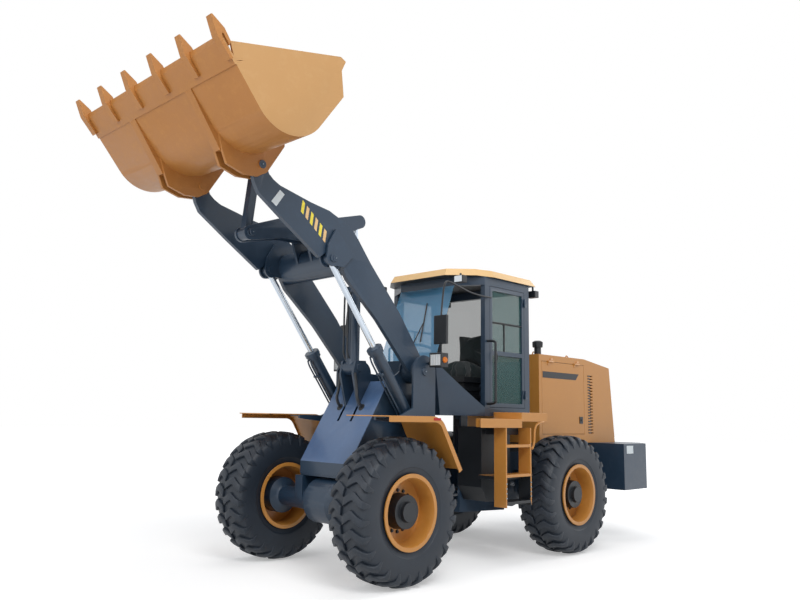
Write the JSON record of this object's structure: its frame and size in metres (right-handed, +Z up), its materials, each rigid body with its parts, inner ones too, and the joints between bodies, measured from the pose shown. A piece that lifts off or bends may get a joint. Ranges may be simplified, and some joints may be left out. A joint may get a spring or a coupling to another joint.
{
  "type": "wheel loader",
  "caption": "Articulated wheel loader with a raised toothed bucket on a single-tilt Z-bar boom, enclosed cab with side ladders, rear engine hood and counterweight.",
  "frame": {"origin": "floor point under the middle of the machine's box, at the parked pose with the boom raised", "axes": "+X forward to the bucket, +Y to the machine's left, +Z up"},
  "size_m": [7.3714, 2.4836, 4.7372],
  "materials": {
    "chassis": "satin dark blue-grey paint",
    "engine": "painted casting",
    "yellow": "gloss amber paint",
    "bucket": "satin amber paint",
    "black": "matt black",
    "glass": "light green tint",
    "seat": "black cloth",
    "cover": "satin blue-grey paint, lighter than the frame",
    "lamp": "black housing with clear lens",
    "chrome": "hard chrome plate",
    "tyre": "black rubber"
  },
  "bodies": {
    "rear_body": {"rear_frame": "chassis", "rear_axle": "chassis", "engine": "engine", "counterweight": "chassis", "hood": "yellow", "radiator_grille": "black", "cab_shell": "chassis", "cab_roof": "yellow", "cab_glass": "glass", "seat": "seat", "steering_column": "black", "platforms": "yellow", "side_tanks": "black", "ladders": "yellow"},
    "front_body": {"front_frame": "chassis", "front_axle": "chassis", "front_cover": "cover", "front_fenders": "yellow", "headlights": "lamp"},
    "boom": {"boom": "chassis"},
    "bellcrank": {"bellcrank": "chassis"},
    "tilt_link": {"tilt_link": "chassis"},
    "lift_barrels": {"lift_barrels": "chassis"},
    "lift_rods": {"lift_rods": "chrome"},
    "tilt_barrel": {"tilt_barrel": "chassis"},
    "tilt_rod": {"tilt_rod": "chrome"},
    "bucket": {"bucket": "bucket", "bucket_teeth": "bucket"},
    "cab_door_left": {"cab_door_left": "chassis"},
    "cab_door_right": {"cab_door_right": "chassis"},
    "hood_door_left": {"hood_door_left": "yellow"},
    "hood_door_right": {"hood_door_right": "yellow"},
    "front_left_wheel": {"front_left_tyre": "tyre", "front_left_rim": "yellow"},
    "front_right_wheel": {"front_right_tyre": "tyre", "front_right_rim": "yellow"},
    "rear_left_wheel": {"rear_left_tyre": "tyre", "rear_left_rim": "yellow"},
    "rear_right_wheel": {"rear_right_tyre": "tyre", "rear_right_rim": "yellow"},
    "steer_barrel_left": {"steer_barrel_left": "chassis"},
    "steer_rod_left": {"steer_rod_left": "chrome"},
    "steer_barrel_right": {"steer_barrel_right": "chassis"},
    "steer_rod_right": {"steer_rod_right": "chrome"}
  },
  "joints": [
    {"name": "articulation", "type": "hinge", "parent": "rear_body", "child": "front_body", "pos_m": [-0.1987, 0, 0.81], "axis": [0, 0, 1], "range_deg": [-38, 38]},
    {"name": "boom_lift", "type": "hinge", "parent": "front_body", "child": "boom", "pos_m": [0.5083, 0, 2.036], "axis": [0, -1, 0], "range_deg": [-79, 3]},
    {"name": "bucket_tilt", "type": "hinge", "parent": "boom", "child": "bucket", "pos_m": [2.68042, 0, 3.79495], "axis": [0, -1, 0], "range_deg": [-95, 30]},
    {"name": "bellcrank_swing", "type": "hinge", "parent": "boom", "child": "bellcrank", "pos_m": [1.7271, 0, 3.43086], "axis": [0, -1, 0], "range_deg": [-7, 21.2]},
    {"name": "link_swing", "type": "hinge", "parent": "bellcrank", "child": "tilt_link", "pos_m": [2.437, 0, 3.28515], "axis": [0, -1, 0], "range_deg": [-54, 17.5]},
    {"name": "lift_barrel_swing", "type": "hinge", "parent": "front_body", "child": "lift_barrels", "pos_m": [0.4723, 0, 1.352], "axis": [0, -1, 0], "range_deg": [-67.5, 2.8]},
    {"name": "lift_rod_slide", "type": "slide", "parent": "lift_barrels", "child": "lift_rods", "axis": [0.6077, 0, 0.7942], "range_m": [-0.79, 0.031]},
    {"name": "tilt_barrel_swing", "type": "hinge", "parent": "front_body", "child": "tilt_barrel", "pos_m": [0.9913, 0, 2.065], "axis": [0, -1, 0], "range_deg": [-96, 4]},
    {"name": "tilt_rod_slide", "type": "slide", "parent": "tilt_barrel", "child": "tilt_rod", "axis": [0.0032, 0, 1], "range_m": [-0.445, 0.018]},
    {"name": "steer_barrel_swing_left", "type": "hinge", "parent": "rear_body", "child": "steer_barrel_left", "pos_m": [-0.8887, 0.12, 0.7], "axis": [0, 0, 1], "range_deg": [-8.6, 8.6]},
    {"name": "steer_rod_slide_left", "type": "slide", "parent": "steer_barrel_left", "child": "steer_rod_left", "axis": [0.9841, 0.1778, 0], "range_m": [-0.16, 0.16]},
    {"name": "front_left_wheel_spin", "type": "hinge", "parent": "front_body", "child": "front_left_wheel", "pos_m": [1.2513, 0.932, 0.685], "axis": [0, 1, 0], "continuous": true},
    {"name": "rear_left_wheel_spin", "type": "hinge", "parent": "rear_body", "child": "rear_left_wheel", "pos_m": [-1.6487, 0.932, 0.685], "axis": [0, 1, 0], "continuous": true},
    {"name": "cab_door_left_hinge", "type": "hinge", "parent": "rear_body", "child": "cab_door_left", "pos_m": [-1.1402, 0.7455, 2.37], "axis": [0, 0, 1], "range_deg": [0, 110]},
    {"name": "hood_door_left_hinge", "type": "hinge", "parent": "rear_body", "child": "hood_door_left", "pos_m": [-2.1587, 0.6435, 2.2875], "axis": [1, 0, 0], "range_deg": [0, 80]},
    {"name": "steer_barrel_swing_right", "type": "hinge", "parent": "rear_body", "child": "steer_barrel_right", "pos_m": [-0.8887, -0.12, 0.7], "axis": [0, 0, 1], "range_deg": [-8.6, 8.6]},
    {"name": "steer_rod_slide_right", "type": "slide", "parent": "steer_barrel_right", "child": "steer_rod_right", "axis": [0.9841, -0.1778, 0], "range_m": [-0.16, 0.16]},
    {"name": "front_right_wheel_spin", "type": "hinge", "parent": "front_body", "child": "front_right_wheel", "pos_m": [1.2513, -0.932, 0.685], "axis": [0, 1, 0], "continuous": true},
    {"name": "rear_right_wheel_spin", "type": "hinge", "parent": "rear_body", "child": "rear_right_wheel", "pos_m": [-1.6487, -0.932, 0.685], "axis": [0, 1, 0], "continuous": true},
    {"name": "cab_door_right_hinge", "type": "hinge", "parent": "rear_body", "child": "cab_door_right", "pos_m": [-1.1402, -0.7455, 2.37], "axis": [0, 0, -1], "range_deg": [0, 110]},
    {"name": "hood_door_right_hinge", "type": "hinge", "parent": "rear_body", "child": "hood_door_right", "pos_m": [-2.1587, -0.6435, 2.2875], "axis": [-1, 0, 0], "range_deg": [0, 80]}
  ],
  "couplings": [
    {"joint": "bellcrank_swing", "follows": "bucket_tilt", "ratio": -0.2187},
    {"joint": "link_swing", "follows": "bucket_tilt", "ratio": 0.5624},
    {"joint": "lift_barrel_swing", "follows": "boom_lift", "ratio": 0.85},
    {"joint": "lift_rod_slide", "follows": "boom_lift", "m_per_rad": 0.5704},
    {"joint": "tilt_barrel_swing", "follows": "boom_lift", "ratio": 1.2089},
    {"joint": "tilt_rod_slide", "follows": "boom_lift", "m_per_rad": 0.3207},
    {"joint": "steer_barrel_swing_left", "follows": "articulation", "ratio": 0.22},
    {"joint": "steer_rod_slide_left", "follows": "articulation", "m_per_rad": -0.238},
    {"joint": "steer_barrel_swing_right", "follows": "articulation", "ratio": 0.22},
    {"joint": "steer_rod_slide_right", "follows": "articulation", "m_per_rad": 0.238}
  ]
}
